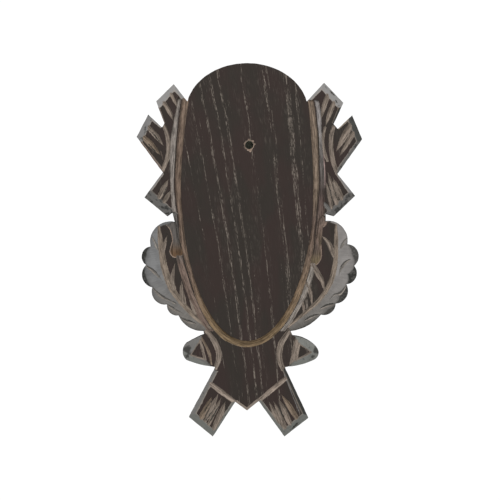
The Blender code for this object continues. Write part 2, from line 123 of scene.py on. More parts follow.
# The two sides. Places are squares of the grid and levels are millimetres. Their rows hold:
#   border: level, the groove's start and width, the strip's width
#   groove and strip: level and colour
#   bevels: the corners that one runs between, its widths there, its colour and how dirty it is
#   flutes and bands: width, colour and places; leaf_flutes: width, shape and places
#   crescents: width and strength of each lobe's shade; chips: width and places
LEFT = {
    "side": -1,
    "upper_twig": ((47, 65), (58.5, 54), (53, 39.5)),
    "middle_twig": ((63.5, 45.5), (71, 31), (54, 8)),
    "lower_twig": ((66, -8), (51.5, -20), (48, -17.5)),
    "twig_notch": (54.5, 37),
    "leaf": ((46.5, -23.5), (62, -39.5), (65, -51.5), (61, -66), (51.5, -77), (44, -84), (28, -94)),
    "leaf_bulges": (0.27, 0.35, 0.31, 0.28, 0.25, 0.16),
    "acorn": ((27.5, -96), (39.5, -102), (39, -112.5), (20.5, -117)),
    "acorn_bulges": (0.02, 0.2, 0.04),
    "log": ((21.5, -119.5), (37.5, -149.5), (22, -162), (7.5, -139.5)),
    "border_top": 55.5,
    "border": (
        (60, -1.2, 4.8, 2.2), (48.5, -1.1, 4.8, 2.4), (31, -0.6, 4.4, 3.9), (15, 0, 4.0, 3.6),
        (-1, 0.2, 4.1, 2.6), (-19, 0, 3.1, 3.3), (-27, 0, 2.9, 3.3), (-37, 0, 3.7, 4.0),
        (-53, 0, 3.2, 4.6), (-68, 0, 3.2, 4.2), (-81, 0, 3.7, 3.9), (-97, 0, 4.4, 3.2),
    ),
    "groove": ((60, "ochre_left"), (-60, "ochre_left"), (-90, "ochre_foot")),
    "groove_shade": 0.3,
    "strip": ((-14, "strip_left"), (-24, "strip_grey"), (-44, "strip_grey"), (-51, "mauve")),
    "bevels": (
        ("shoulder", "upper_0", 2.1, 3.0, "ash_light", 0.1),
        ("upper_0", "upper_1", 3.5, 5.4, "ash_light", 0.15),
        ("upper_1", "upper_2", 1.2, 0.9, "mauve_dark", 0.3),
        ("notch", "middle_0", 1.2, 1.9, "ash", 0.1),
        ("middle_0", "middle_1", 4.4, 5.4, "ash", 0.7),
        ("middle_1", "middle_2", 1.3, 1.7, "mauve", 0.4),
        ("middle_2", "lower_0", 1.5, 2.0, "ash", 0.1),
        ("lower_0", "lower_1", 6.8, 6.0, "ash_dark", 0.8),
        ("lower_1", "lower_2", 2.2, 1.6, "mauve_dark", 0.3),
        ("log_0", "log_1", 2.8, 3.6, "ash_dark", 0.3),
        ("log_1", "log_2", 5.8, 4.3, "sage", 0.1),
        ("log_2", "log_3", 2.4, 2.1, "sage", 0.3),
        ("log_3", "tip", 1.9, 1.9, "flute_pale", 0.2),
    ),
    "flutes": (
        (2.7, "flute", ((48.8, 58.4), (46.6, 54), (44.6, 49.8))),
        (3.2, "flute", ((53.2, 52.6), (50, 47.4), (46.9, 40.6))),
        (3.7, "flute", ((62, 35.9), (57.6, 30.8), (53.3, 24.8))),
        (4.2, "flute_warm", ((64.9, 29.4), (60, 24.3), (55.4, 19))),
        (1.4, "flute_dark", ((54.7, 19.8), (53.4, 15))),
        (4.0, "flute", ((55.7, -7), (52.7, -1.2), (50.2, 3.8))),
        (3.3, "flute", ((52.9, -10.6), (50.8, -7), (48.6, -3.4))),
        (4.0, "flute_warm", ((29, -148.7), (25.8, -142.5), (22.3, -135.8))),
        (3.9, "flute", ((26.2, -149.8), (22.2, -142), (18.2, -133.6))),
        (3.2, "flute", ((24, -152.4), (20.2, -144.5), (16.3, -136))),
        (4.8, "flute", ((20.2, -155), (17, -147.3), (13.8, -138.8))),
    ),
    "bands": (
        (3.2, "flute", (
            (53.6, 38.6), (51.6, 34), (50.7, 29), (50.3, 24), (50.8, 18), (52.8, 12.4), (54.6, 8.4),
        )),
        (3.9, "flute", ((26, -93.6), (21.2, -99.8), (18.3, -107), (18.3, -112.3), (20.2, -117.4))),
        (2.1, "flute_warm", ((29, -98.4), (26, -104), (24, -109), (22.8, -115))),
        (3.5, "flute_pale", ((25, -126.4), (7.4, -139.6))),
    ),
    "midrib": (5.3, (
        (56.4, -27), (55.5, -37.3), (54.5, -45.4), (53.5, -51.8), (51.7, -58.3), (49.3, -64.8),
        (46, -70.5), (41.6, -76.1), (37.2, -81), (32.3, -85.9), (24, -92),
    )),
    "veins": (
        ((61.6, -32.4), (59.6, -35.8), (56.6, -42.5)),
        ((65.4, -51.8), (60.8, -54.8), (56.7, -58.9), (54, -62)),
        ((61.2, -65.8), (55.3, -71.4), (49.7, -74.2), (43.5, -77.6)),
        ((51.3, -77), (46, -80.4), (40.5, -82.8)),
        ((44.2, -84.3), (40, -86.8), (32.5, -89.3)),
    ),
    "leaf_flutes": (
        (2.8, "drop", ((50.8, -31.6), (52.5, -37.3), (54, -43.5))),
        (3.7, "drop", ((45.9, -49.8), (47.5, -56.7), (47.9, -61.6), (47.2, -66.5))),
        (3.7, "drop", ((41.7, -61), (41.9, -68), (40.6, -75.5))),
        (3.0, "drop", ((37.3, -68.3), (35.5, -75.3), (33, -82))),
    ),
    "crescents": ((0.8, 0.5), (3.4, 1.0), (3.0, 1.0), (0.7, 0.6), (0.6, 0.5), (0.5, 0.5)),
    "rim": (
        (52.5, -25.3), (50.3, -27.2), (48.7, -30), (47.6, -35.6), (49, -40.9),
        (49.2, -43.3), (47.5, -46), (44.6, -46.4), (41.6, -45.2),
    ),
    "pocket_back": ((41, -44), (44.5, -32), (46, -20), (47.5, -18.5), (50.5, -22)),
    "pocket": ("pocket", "strip_grey"),
    "acorn_tints": ("ash_dark", "acorn"),
    "acorn_facet": ((30, -100), (36, -109.2), (26.8, -112)),
    "chips": (
        (0.9, ((17.2, -141), (24.2, -152.8))),
        (0.7, ((20.6, -143), (26.6, -151.6))),
        (0.7, ((22.8, -138.5), (28.2, -147))),
        (0.8, ((60.6, 33.6), (55.2, 26.8))),
        (0.8, ((63.4, 26.6), (57.6, 20))),
        (0.7, ((53.6, -6), (51.4, -1.4))),
        (1.3, ((52.5, -18.5), (50, -18))),
    ),
    "leaf_tints": ("leaf_grey", "leaf_low"),
}

RIGHT = {
    "side": 1,
    "upper_twig": ((49.5, 66), (62, 53), (55.5, 39)),
    "middle_twig": ((67.5, 45), (74, 29.5), (58, 7)),
    "lower_twig": ((69.5, -7), (56, -20), (50.5, -18.5)),
    "twig_notch": (58, 36),
    "leaf": ((50.5, -23), (64.5, -38), (69, -52), (64, -64), (57, -76.5), (47.5, -83.5), (28, -94)),
    "leaf_bulges": (0.25, 0.35, 0.31, 0.28, 0.25, 0.1),
    "acorn": ((29.5, -97), (44.3, -103.8), (43, -112.5), (24.5, -117)),
    "acorn_bulges": (0.09, 0.26, 0.05),
    "log": ((25, -119), (39.5, -150), (24, -162), (7.5, -139)),
    "border_top": 54.3,
    "border": (
        (60, 0.3, 3.8, 3.0), (48.5, 0.4, 4.2, 3.0), (31, 0, 4.6, 2.4), (15, 0.1, 4.1, 2.6),
        (-1, 0.2, 4.1, 3.2), (-13, 0.3, 3.1, 4.5), (-29, 0.8, 2.8, 4.2), (-38, 0.6, 3.2, 4.4),
        (-53, 0.2, 4.5, 2.9), (-68, 0.2, 4.4, 3.4), (-81, 0.1, 4.3, 3.0), (-97, 0, 4.4, 2.8),
    ),
    "groove": (
        (40, "ochre_right"), (-10, "ochre_right"), (-22, "mauve"), (-45, "ochre_left"),
        (-90, "ochre_foot"),
    ),
    "groove_shade": 0.4,
    "strip": (
        (40, "strip_right"), (8, "strip_grey"), (-10, "mauve_dark"), (-28, "mauve"),
        (-45, "pocket_olive"), (-51, "strip_low"),
    ),
    "bevels": (
        ("shoulder", "upper_0", 2.2, 2.3, "ash_light", 0.15),
        ("upper_0", "upper_1", 4.8, 5.6, "ash_light", 0.4),
        ("upper_1", "upper_2", 2.4, 1.6, "chip", 0.2),
        ("notch", "middle_0", 1.0, 1.4, "flute", 0.1),
        # This slope's dark grey is painted shade, on the end that faces away from the light
        ("middle_0", "middle_1", 4.4, 4.6, "soot_and_shade", 0.4),
        ("middle_1", "middle_2", 2.8, 2.4, "ash_dark", 0.5),
        ("middle_2", "lower_0", 1.4, 3.0, "ash", 0.2),
        ("lower_0", "lower_1", 5.2, 5.4, "ash_dark", 0.9),
        ("lower_1", "lower_2", 3.2, 2.4, "ash", 0.3),
        ("log_0", "log_1", 2.4, 2.8, "chip", 0.2),
        ("log_1", "log_2", 5.2, 4.8, "sage", 0.4),
        ("log_2", "log_3", 2.9, 2.2, "sage", 0.3),
        ("log_3", "tip", 2.1, 1.9, "flute_pale", 0.2),
    ),
    "flutes": (
        (3.6, "flute", ((51.3, 56.6), (49.1, 49.4), (47.4, 42.2))),
        (3.5, "flute", ((55.4, 52), (52.7, 45.4), (50.1, 37.3))),
        (1.0, "flute_warm", ((58.5, 50), (55.5, 38.5))),
        (4.6, "flute", ((65.5, 37), (61.2, 29.2), (56.9, 21.2))),
        (3.4, "flute", ((68, 33), (63.2, 25.1), (58.9, 17.9))),
        (3.8, "flute", ((60.5, -8.2), (57.8, -2), (54.8, 5))),
        (4.2, "flute", ((57.3, -11), (54.6, -2), (51.6, 8.5))),
        (3.0, "flute", ((54, -13.6), (52.3, -6), (50.5, 2.5))),
        (3.2, "ash_dark", ((53.6, -17.4), (50.4, -13.2), (47, -9))),
        (4.0, "flute_warm", ((31, -148.3), (26.7, -141.5), (21.8, -134.3))),
        (3.8, "flute", ((27.2, -152.6), (23.8, -145), (19.9, -136.8))),
        (3.6, "flute", ((24, -155), (20.6, -147), (16.8, -138.5))),
        (3.2, "flute", ((19.5, -151), (16.8, -145), (13.9, -138.8))),
    ),
    "bands": (
        (3.4, "flute", ((55.2, 37), (53.9, 30.8), (53.9, 22.7), (55.2, 14.6), (57.8, 7.2))),
        (2.5, "flute", ((49.9, 36.5), (48.4, 29.2), (49, 22.7), (51.4, 15.6))),
        (1.0, "mauve_pale", ((49, 19.4), (49.9, 4.1), (48.5, -9.7))),
        (4.0, "flute", ((27, -94), (22.2, -101), (20.7, -107.6), (21.2, -113.4), (23, -118))),
        (3.6, "flute", ((32.3, -97.8), (30.6, -106), (28.4, -115.4))),
        (3.4, "flute_pale", ((24.6, -124.3), (7.4, -138.6))),
        (0.9, "ash", ((23.8, -121.8), (33.7, -146.6))),
    ),
    "midrib": (4.0, (
        (57, -25.6), (57.1, -37.3), (57, -45.4), (56.1, -53.5), (54.3, -60.8), (50.6, -68),
        (45.8, -74.5), (40.5, -79.4), (35.7, -83.4), (26.5, -91),
    )),
    "veins": (
        ((65, -33.6), (62, -36.6), (59.8, -41)),
        ((66.2, -47.8), (62.4, -50.4), (60, -54.5), (58.6, -59)),
        ((63.9, -64.8), (60, -69.7), (56, -70.7), (52.6, -74)),
        ((56.8, -76.3), (51.5, -77.6), (46.5, -79.8)),
        ((47.4, -83.4), (43, -84), (36.5, -87.5)),
    ),
    "leaf_flutes": (
        (3.6, "lens", ((47.7, -32.5), (51.6, -36.6), (54, -41.5), (56.4, -49))),
        (3.9, "boat", ((42.6, -52), (45.6, -57.5), (48, -61.8), (49.6, -68.5))),
        (3.0, "boat", ((38.8, -64.6), (40.7, -70), (41.5, -77.5))),
        (2.3, "boat", ((35.2, -75), (36.3, -78.8), (35.8, -83))),
    ),
    "crescents": ((0.3, 0.4), (4.6, 0.85), (6.4, 1.0), (4.8, 0.95), (3.4, 0.8), (1.6, 0.6)),
    "rim": (
        (51.2, -24), (50.2, -25.9), (46.7, -28.6), (46, -32.5), (47, -38), (47.6, -45),
        (46.4, -49), (43.9, -51.5), (41, -50.6),
    ),
    "pocket_back": ((40.8, -49.5), (44, -36), (46, -22), (48.5, -19.5), (50.5, -21)),
    "pocket": ("pocket_olive", "mauve"),
    "acorn_tints": ("acorn", "acorn"),
    "acorn_facet": ((33.4, -102), (41, -107.4), (31.4, -112.4)),
    "chips": (
        (1.2, ((53.3, 60.8), (56, 57.7))),
        (1.0, ((56.7, 54.5), (58, 52.6))),
        (1.2, ((33.2, -152.3), (28.6, -157.3))),
        (0.7, ((24.4, -151.5), (19.4, -140.5))),
        (0.7, ((28, -149.5), (23.2, -139.5))),
        (0.6, ((58, -9.6), (54.8, 0))),
        (0.6, ((55, -12), (52.6, -1))),
    ),
    "leaf_tints": ("leaf_light", "leaf_low"),
}

TAIL_TIP = (0, -145)

# How far a sawn slope runs on past a corner, as a share of its length; at the others it stops
CORNER_RUN = 0.25
OUTER_CORNERS = (
    "upper_0", "upper_1", "middle_0", "middle_1", "lower_0", "lower_1", "log_1", "log_2", "tip",
)
RUN_ON = {**dict.fromkeys(OUTER_CORNERS, CORNER_RUN), "log_0": 0.04}

# The field's rows of pores: how far across the grain they lie, how strong and how wide they are
PORE_ROWS = (
    (-34, 0.7, 0.8), (-25.3, 0.9, 0.9), (-22.5, 0.6, 0.7), (-18, 1, 1.2), (-11.5, 0.9, 1),
    (-6.5, 1, 1.2), (-3, 0.6, 0.7), (6.5, 0.8, 1.1), (8.4, 0.5, 0.6), (16.5, 0.5, 0.7),
    (19.2, 0.8, 0.9), (21.2, 0.95, 1.1), (31.5, 1, 2.3), (36.5, 0.9, 0.8),
)

# Colours of the wood as an 8-bit display shows them
COLOURS = {
    "stain": (53, 46, 42),
    "pore": (138, 128, 118),
    "back": (62, 54, 50),
    "bore": (176, 177, 166),
    "ochre_left": (134, 116, 102),
    "ochre_right": (138, 122, 107),
    "ochre_foot": (138, 118, 92),
    "strip_left": (147, 139, 132),
    "strip_grey": (104, 99, 95),
    "strip_right": (166, 160, 157),
    "strip_low": (158, 150, 142),
    "mauve": (126, 109, 99),
    "mauve_dark": (92, 78, 73),
    "mauve_pale": (160, 140, 135),
    # The sawn slopes' greys, from ash_light on upper slopes that face up to ash_dark on lower ones, are
    # partly their own tone and partly painted light and shade
    "ash_light": (150, 148, 146),
    "ash": (134, 132, 131),
    "ash_dark": (120, 118, 115),
    "sage": (126, 127, 122),
    "leaf_grey": (130, 130, 130),
    "leaf_light": (146, 142, 139),
    # Painted shade: the leaf's grey darkened for the slopes of the lower lobes; also the veins' colour
    "leaf_low": (126, 122, 117),
    "flute": (142, 130, 119),
    "flute_warm": (142, 126, 110),
    "flute_pale": (158, 144, 132),
    "flute_dark": (104, 92, 84),
    "midrib": (138, 125, 112),
    # The pale of the cuts' lower walls, a painted highlight, and of the line along a sawn slope's top
    # edge
    "pale_line": (168, 156, 144),
    "pocket": (104, 82, 62),
    "pocket_olive": (112, 99, 78),
    "acorn": (128, 129, 124),
    "chip": (60, 60, 57),
    # Painted shade: the sawn slopes' grey darkened for the end that faces away from the light
    "soot_and_shade": (76, 76, 73),
    "bare": (150, 130, 116),
}


def linear(name):
    """A named colour as the linear values that a shader takes."""
    shown = np.array(COLOURS[name]) / 255.0
    return np.where(shown <= 0.04045, shown / 12.92, ((shown + 0.055) / 1.055) ** 2.4)


def blended(first, second, share):
    """A colour between two, by each point's share of the second."""
    share = share[:, None]
    return first * (1 - share) + second * share


def on_grid(side, place):
    """A place on the carver's grid as millimetres of the design plane."""
    across, up = place
    return (side * across * FIELD_HALF_WIDTH / SQUARES_ACROSS, up * FIELD_DROP / SQUARES_DOWN)


def all_on_grid(side, places):
    return np.array([on_grid(side, place) for place in places])


def field_half_width(level):
    height = FIELD_RISE if level > 0 else FIELD_DROP
    return FIELD_HALF_WIDTH * math.sqrt(max(0.0, 1 - (level / height) ** 2))


def arch(count=96):
    """The rounded top, from the left shoulder to the right one."""
    half_width = field_half_width(ARCH_LEVEL)
    start = math.asin((SHOULDER_LEVEL - ARCH_LEVEL) / ARCH_HEIGHT)
    angles = np.linspace(start, math.pi - start, count + 1)
    return [(-half_width * math.cos(a), ARCH_LEVEL + ARCH_HEIGHT * math.sin(a)) for a in angles]


def arc_between(start, end, bulge, count=14):
    """Points of a round arc that stands bulge x its chord to the left of the way from start to end."""
    (x0, z0), (x1, z1) = start, end
    points = []
    half_angle = 2 * math.atan(2 * bulge)
    for i in range(count + 1):
        angle = half_angle * (2 * i / count - 1)
        along = 0.5 + math.sin(angle) / (2 * math.sin(half_angle))
        out = (math.cos(angle) - math.cos(half_angle)) / (2 * math.sin(half_angle))
        points.append((
            x0 + along * (x1 - x0) - out * (z1 - z0),
            z0 + along * (z1 - z0) + out * (x1 - x0),
        ))
    return points


def arcs(hand, key):
    """One side's leaf lobes, or its acorn's upper edge, blunt tip and lower edge, as round arcs."""
    points = all_on_grid(hand["side"], hand[key])
    return [
        arc_between(start, end, hand["side"] * bulge)
        for start, end, bulge in zip(points, points[1:], hand[key + "_bulges"])
    ]


def joined(pieces):
    """The points of arcs that meet end to end, each corner once."""
    points = []
    for piece in pieces:
        points += piece[:-1]
    return points + [piece[-1]]


def side_outline(hand):
    """The board's edge on one side, from the shoulder down to the tail."""
    side = hand["side"]
    places = [*hand["upper_twig"], hand["twig_notch"], *hand["middle_twig"], *hand["lower_twig"]]
    return [
        *all_on_grid(side, places), *joined(arcs(hand, "leaf")), *joined(arcs(hand, "acorn")),
        *all_on_grid(side, hand["log"]),
    ]


def outline():
    """The whole edge, clockwise from the left shoulder."""
    return arch() + side_outline(RIGHT) + [on_grid(1, TAIL_TIP)] + side_outline(LEFT)[::-1]


def corners(hand):
    """The named corners that the sawn bevels run between."""
    side = hand["side"]
    named = {
        "shoulder": (side * field_half_width(SHOULDER_LEVEL), SHOULDER_LEVEL),
        "notch": on_grid(side, hand["twig_notch"]),
        "tip": on_grid(side, TAIL_TIP),
    }
    for key in ("upper", "middle", "lower"):
        for i, place in enumerate(hand[key + "_twig"]):
            named[f"{key}_{i}"] = on_grid(side, place)
    for i, place in enumerate(hand["log"]):
        named[f"log_{i}"] = on_grid(side, place)
    return named


def smooth_path(points):
    """Points a fine step apart on a smooth curve through the given ones."""
    p = np.array(points, float)
    if len(p) == 2:
        p = np.array([p[0], (p[0] + p[1]) / 2, p[1]])
    ends = np.vstack([2 * p[0] - p[1], p, 2 * p[-1] - p[-2]])
    curve = []
    for before, start, end, after in zip(ends, ends[1:], ends[2:], ends[3:]):
        count = max(2, round(float(np.hypot(*(end - start))) / FINE_STEP))
        for t in np.arange(count) / count:
            curve.append(0.5 * (
                2 * start
                + (end - before) * t
                + (2 * before - 5 * start + 4 * end - after) * t ** 2
                + (3 * start - before - 3 * end + after) * t ** 3
            ))
    curve.append(p[-1])
    return np.array(curve)


def resampled(points, closed=False):
    """The same straight stretches with points an edge step apart; the corners stay."""
    p = [np.array(point, float) for point in points]
    made = []
    for start, end in zip(p, p[1:] + (p[:1] if closed else [])):
        count = max(1, round(float(np.hypot(*(end - start))) / EDGE_STEP))
        made += [start + (end - start) * i / count for i in range(count)]
    if not closed:
        made.append(p[-1])
    return np.array(made)


def left_of(way):
    """Unit vectors to the left of each way."""
    way = way / np.maximum(np.hypot(way[:, 0], way[:, 1]), 1e-9)[:, None]
    return np.column_stack([-way[:, 1], way[:, 0]])


def normals(path):
    """Unit vectors to the left of a path."""
    return left_of(np.gradient(path, axis=0))


def ring_normals(ring):
    """Unit vectors to the left of a closed path."""
    return left_of(np.roll(ring, -1, axis=0) - np.roll(ring, 1, axis=0))


def along_path(x, z, path):
    """For each point: how far left of the path it lies (right is negative), the way along it, the
    path's length and how much the left side there is the upper one."""
    best = np.full(len(x), np.inf)
    signed = np.zeros(len(x))
    along = np.zeros(len(x))
    rise = np.zeros(len(x))
    walked = 0.0
    for (x0, z0), (x1, z1) in zip(path, path[1:]):
        dx, dz = x1 - x0, z1 - z0
        length = math.hypot(dx, dz)
        share = np.clip(((x - x0) * dx + (z - z0) * dz) / length ** 2, 0, 1)
        off_x, off_z = x - x0 - share * dx, z - z0 - share * dz
        distance = np.hypot(off_x, off_z)
        nearer = distance < best
        best[nearer] = distance[nearer]
        left = dx * off_z - dz * off_x
        signed[nearer] = np.copysign(distance, left)[nearer]
        along[nearer] = (walked + share * length)[nearer]
        rise[nearer] = dx / length
        walked += length
    return signed, along, walked, rise


def inside(x, z, polygon):
    """True for the points that lie inside the polygon."""
    within = np.zeros(len(x), bool)
    closed = np.vstack([polygon, polygon[:1]])
    for (x0, z0), (x1, z1) in zip(closed, closed[1:]):
        if z0 == z1:
            continue
        crosses = ((z0 > z) != (z1 > z)) & (x < (x1 - x0) * (z - z0) / (z1 - z0) + x0)
        within ^= crosses
    return within


def ramp(value, low, high):
    """0 below low, 1 above high and a smooth rise between."""
    t = np.clip((value - low) / (high - low), 0, 1)
    return t * t * (3 - 2 * t)


def noise(x, z, seed):
    """Smooth random values from -1 to 1 on a lattice of unit steps."""
    table = np.random.default_rng(seed).uniform(-1, 1, (NOISE_SIZE, NOISE_SIZE))
    i, j = np.floor(x).astype(int), np.floor(z).astype(int)
    u, v = ramp(x - i, 0, 1), ramp(z - j, 0, 1)

    def at(a, b):
        return table[(i + a) % NOISE_SIZE, (j + b) % NOISE_SIZE]

    low = at(0, 0) * (1 - u) + at(1, 0) * u
    high = at(0, 1) * (1 - u) + at(1, 1) * u
    return low * (1 - v) + high * v


def field_edge(count=220):
    """A path round the field, from above the left shoulder, under it, to above the right one."""
    top = math.asin((ARCH_LEVEL + ARCH_HEIGHT / 2) / FIELD_RISE)
    angle = np.linspace(math.pi - top, 2 * math.pi + top, count)
    height = np.where(np.sin(angle) > 0, FIELD_RISE, FIELD_DROP)
    return np.column_stack([FIELD_HALF_WIDTH * np.cos(angle), height * np.sin(angle)])


def border_at(z, right):
    """The groove's start and width, and the start and width of the strip beside it, by levels."""
    rows = {hand["side"]: np.array(hand["border"], float)[::-1] for hand in (LEFT, RIGHT)}
    start, groove, strip = (
        np.where(right, *(np.interp(z, rows[side][:, 0], rows[side][:, i]) for side in (1, -1)))
        for i in (1, 2, 3)
    )
    ridge = RIDGE_WIDTH * np.where(right, ramp(z, -50, -38), 1)
    return start, groove, start + groove + ridge, strip


def shades(rows, z):
    """Colours that change with the level, named at some levels."""
    levels = [row[0] for row in rows][::-1]
    named = np.array([linear(row[1]) for row in rows])[::-1]
    return np.column_stack([np.interp(z, levels, named[:, i]) for i in range(3)])


def boat(share):
    """A gouge flute's half width along its way: blunt where it starts, pointed where it ends."""
    start = 0.8 + 0.2 * ramp(share, 0, 0.2)
    return start * (1 - np.clip((share - 0.45) / 0.55, 0, 1) ** 1.7)


def drop(share):
    """Pointed where it starts and wide where it ends."""
    return 1 - (1 - np.clip(share / 0.8, 0, 1)) ** 1.8


def lens(share):
    """Pointed at both ends."""
    return 1 - np.abs(2 * share - 1) ** 2.2


def band(share):
    """Nearly even, thinner at its two ends."""
    return 0.8 + 0.2 * lens(share)


def reed(share):
    """A midrib: widest before its middle and half as wide at its foot."""
    return np.interp(share, (0, 0.12, 0.35, 0.7, 1), (0.4, 0.85, 1, 0.85, 0.5))


SHAPES = {"boat": boat, "drop": drop, "lens": lens}


class Cut:
    """A stroke of the gouge along a path: how wide it is, how deep, and its colour. Its upper wall
    is painted shade as dark as shade says, and its lower one a painted highlight as pale as glow."""

    def __init__(
        self, side, places, width, shape, tint, share=FLUTE_SHARE, shade=0.4, glow=0.2, seed=0,
    ):
        points = all_on_grid(side, places)
        if shape is boat:
            way = points[0] - points[1]
            points[0] += way / np.hypot(*way) * RUN_IN
        self.path = smooth_path(points)
        self.width = width
        self.shape = shape
        self.tint = tint
        self.share = share
        self.shade = shade
        self.glow = glow
        self.seed = seed

    def half_width(self, share):
        waver = 1 + 0.1 * noise(share * 6 + self.seed, 0.5, 5)
        return self.width / 2 * self.shape(share) * waver

    def lines(self):
        """The stroke's two edges and its bottom, for the mesh to follow."""
        share = np.linspace(0, 1, len(self.path))
        half = self.half_width(share)[:, None]
        left = normals(self.path)
        return [self.path, self.path + left * half, self.path - left * half]


class Relief:
    """What the carving has done to a set of points on the front."""

    def __init__(self, x, z):
        count = len(x)
        self.x, self.z = x, z
        self.depth = np.zeros(count)
        self.tint = np.tile(linear("flute"), (count, 1))
        self.cut = np.zeros(count)
        self.dirt_and_shade = np.zeros(count)
        self.calm = np.zeros(count)
        self.flow = np.column_stack([x, z, np.zeros(count)])
        self.serial = 0

    def near(self, path, reach):
        low, high = path.min(axis=0) - reach, path.max(axis=0) + reach
        return np.flatnonzero(
            (self.x > low[0]) & (self.x < high[0]) & (self.z > low[1]) & (self.z < high[1])
        )

    def carve(self, where, depth, tint, across, along, added=False, dirt_and_shade=0.0, calm=0.0):
        """Takes the points down to a depth, or further down by it, where that is deeper."""
        self.serial += 1
        new = self.depth[where] + depth if added else depth
        deeper = (depth > 0) & (new >= self.depth[where] - 1e-9)
        fresh = ~deeper & (self.cut[where] == 0)
        for chosen in (deeper, fresh):
            at = where[chosen]
            self.flow[at] = np.column_stack([
                across[chosen], along[chosen], np.full(len(at), 7.3 * self.serial)
            ])
        at = where[deeper]
        self.depth[at] = new[deeper]
        self.tint[at] = tint[deeper] if tint.ndim == 2 else tint
        self.cut[at] = np.maximum(self.cut[at] if added else 0, ramp(depth[deeper], 0.0, 0.16))
        self.dirt_and_shade[at] = dirt_and_shade[deeper] if isinstance(dirt_and_shade, np.ndarray) else dirt_and_shade
        self.calm[at] = calm

    def stroke(self, cut, added=False):
        where = self.near(cut.path, cut.width)
        signed, along, length, rise = along_path(self.x[where], self.z[where], cut.path)
        half = np.maximum(cut.half_width(along / length), 1e-6)
        across = signed / half
        keep = np.abs(across) < 1.25
        where, across, along, half = where[keep], across[keep], along[keep], half[keep]
        depth = 2 * half * cut.share * np.clip(1 - np.abs(across) ** 1.6, 0, None)
        # Painted shade on the upper wall and a painted highlight on the lower wall, as light from above
        # falls on them
        upper = across * rise[keep]
        glow = np.clip(-upper * 1.4, 0, 1) * cut.glow
        tint = blended(linear(cut.tint), linear("pale_line"), glow)
        dirt_and_shade = np.clip(upper * 1.5 - 0.2, 0, 1) * cut.shade
        self.carve(where, depth, tint, across * half, along, added, dirt_and_shade)

    def bevel(self, start, end, widths, tint, mottle, side, run_on):
        """A sawn slope from an edge of the board up to the face."""
        path = np.array([start, end])
        length = float(np.hypot(*(path[1] - path[0])))
        where = self.near(path, max(widths) + CORNER_RUN * length)
        way = (path[1] - path[0]) / length
        off = np.column_stack([self.x[where], self.z[where]]) - path[0]
        along = off @ way
        inward = -side * (way[0] * off[:, 1] - way[1] * off[:, 0])
        share = along / length
        width = widths[0] + (widths[1] - widths[0]) * np.clip(share, 0, 1)
        keep = (inward > -1) & (share > -run_on[0]) & (share < 1 + run_on[1])
        where, along, inward, width = where[keep], along[keep], inward[keep], width[keep]
        worn = BEVEL_WEAR * noise(along * 0.6, inward * 0.5 + 11, 8)
        depth = (width - inward + worn * ramp(width, 1, 3)) * BEVEL_SLOPE
        glow = ramp(inward, width - 1.1, width - 0.5) * 0.45
        colour = blended(linear(tint), linear("pale_line"), glow)
        spots = noise(along * 0.55 + start[0], inward * 0.8, 9)
        spots += 0.5 * noise(along * 1.6, inward * 2.1, 10)
        dirt_and_shade = ramp(spots, 1.2 - 1.4 * mottle, 1.6 - mottle) * 0.85
        self.carve(where, depth, colour, inward, along, dirt_and_shade=dirt_and_shade, calm=1.0)


def bevel_lines(hand):
    """Where the sawn slopes meet the face."""
    named = corners(hand)
    lines = []
    for start, end, first, last, _, _ in hand["bevels"]:
        path = resampled([named[start], named[end]])
        widths = np.linspace(first, last, len(path))[:, None]
        lines.append(path - hand["side"] * normals(path) * widths)
    return lines


def cuts_of(hand):
    """The strokes of one side: those into the face, those into the leaf's slope, and the chips."""
    def strokes(rows, first_seed, **how):
        return [
            Cut(hand["side"], places, width, shape, tint, seed=first_seed + i, **how)
            for i, (width, shape, tint, places) in enumerate(rows)
        ]

    flutes = [(width, boat, tint, places) for width, tint, places in hand["flutes"]]
    leaf_flutes = [(width, SHAPES[shape], "flute", way) for width, shape, way in hand["leaf_flutes"]]
    bands = [(width, band, tint, places) for width, tint, places in hand["bands"]]
    ring = hand["acorn_facet"] + hand["acorn_facet"][:1]
    facet = [(width, band, "flute", ends) for width, ends in zip(FACET_WIDTHS, zip(ring, ring[1:]))]
    rim = [(RIM_WIDTH, band, "bare", hand["rim"])]
    midrib_width, midrib = hand["midrib"]
    veins = [(VEIN_WIDTH, lens, "leaf_low", places) for places in hand["veins"]]
    chips = [(width, lens, "chip", places) for width, places in hand["chips"]]
    flat = (
        strokes(flutes, 3) + strokes(leaf_flutes, 31) + strokes(bands, 57, share=0.42)
        + strokes(facet, 71, share=0.45) + strokes(rim, 83, share=0.3)
        + strokes([(midrib_width, reed, "midrib", midrib)], 91, share=0.32)
    )
    sloped = strokes(veins, 97, share=0.4, shade=1.0, glow=0.6)
    return flat, sloped, strokes(chips, 113, share=0.3)


